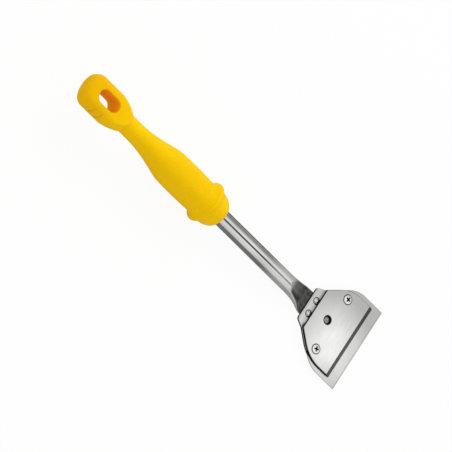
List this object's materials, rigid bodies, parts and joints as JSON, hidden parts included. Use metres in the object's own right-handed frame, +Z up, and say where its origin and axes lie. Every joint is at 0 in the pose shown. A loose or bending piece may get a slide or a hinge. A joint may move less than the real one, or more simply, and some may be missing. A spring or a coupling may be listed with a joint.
{
  "type": "grill scraper",
  "caption": "Long grill scraper with a moulded eye handle, a steel tube shaft and a wide flat blade clamped between flared plates.",
  "frame": {"origin": "centre of the bounding box's foot: the floor under the lying tool, midway between the handle's eye and the cutting edge, on the tube's middle plane", "axes": "+X along the tool from the handle's eye to the cutting edge, +Y across the blade, +Z up, out of the face that carries the clamp screws"},
  "size_m": [0.4458, 0.1016, 0.0538],
  "materials": {
    "handle_plastic": "moulded yellow plastic, satin gloss",
    "tube_steel": "drawn steel, polished along its length",
    "plate_steel": "rolled stainless steel, satin",
    "blade_steel": "hardened spring steel, ground edge",
    "fastener_steel": "bright plated"
  },
  "bodies": {
    "root": {"handle": "handle_plastic", "shaft_tube": "tube_steel", "holder_plate": "plate_steel", "blade": "blade_steel", "clamp_plate": "plate_steel", "locating_peg": "fastener_steel", "rivet_left": "fastener_steel", "rivet_right": "fastener_steel", "clamp_screw_left": "fastener_steel", "clamp_screw_right": "fastener_steel"}
  },
  "joints": []
}
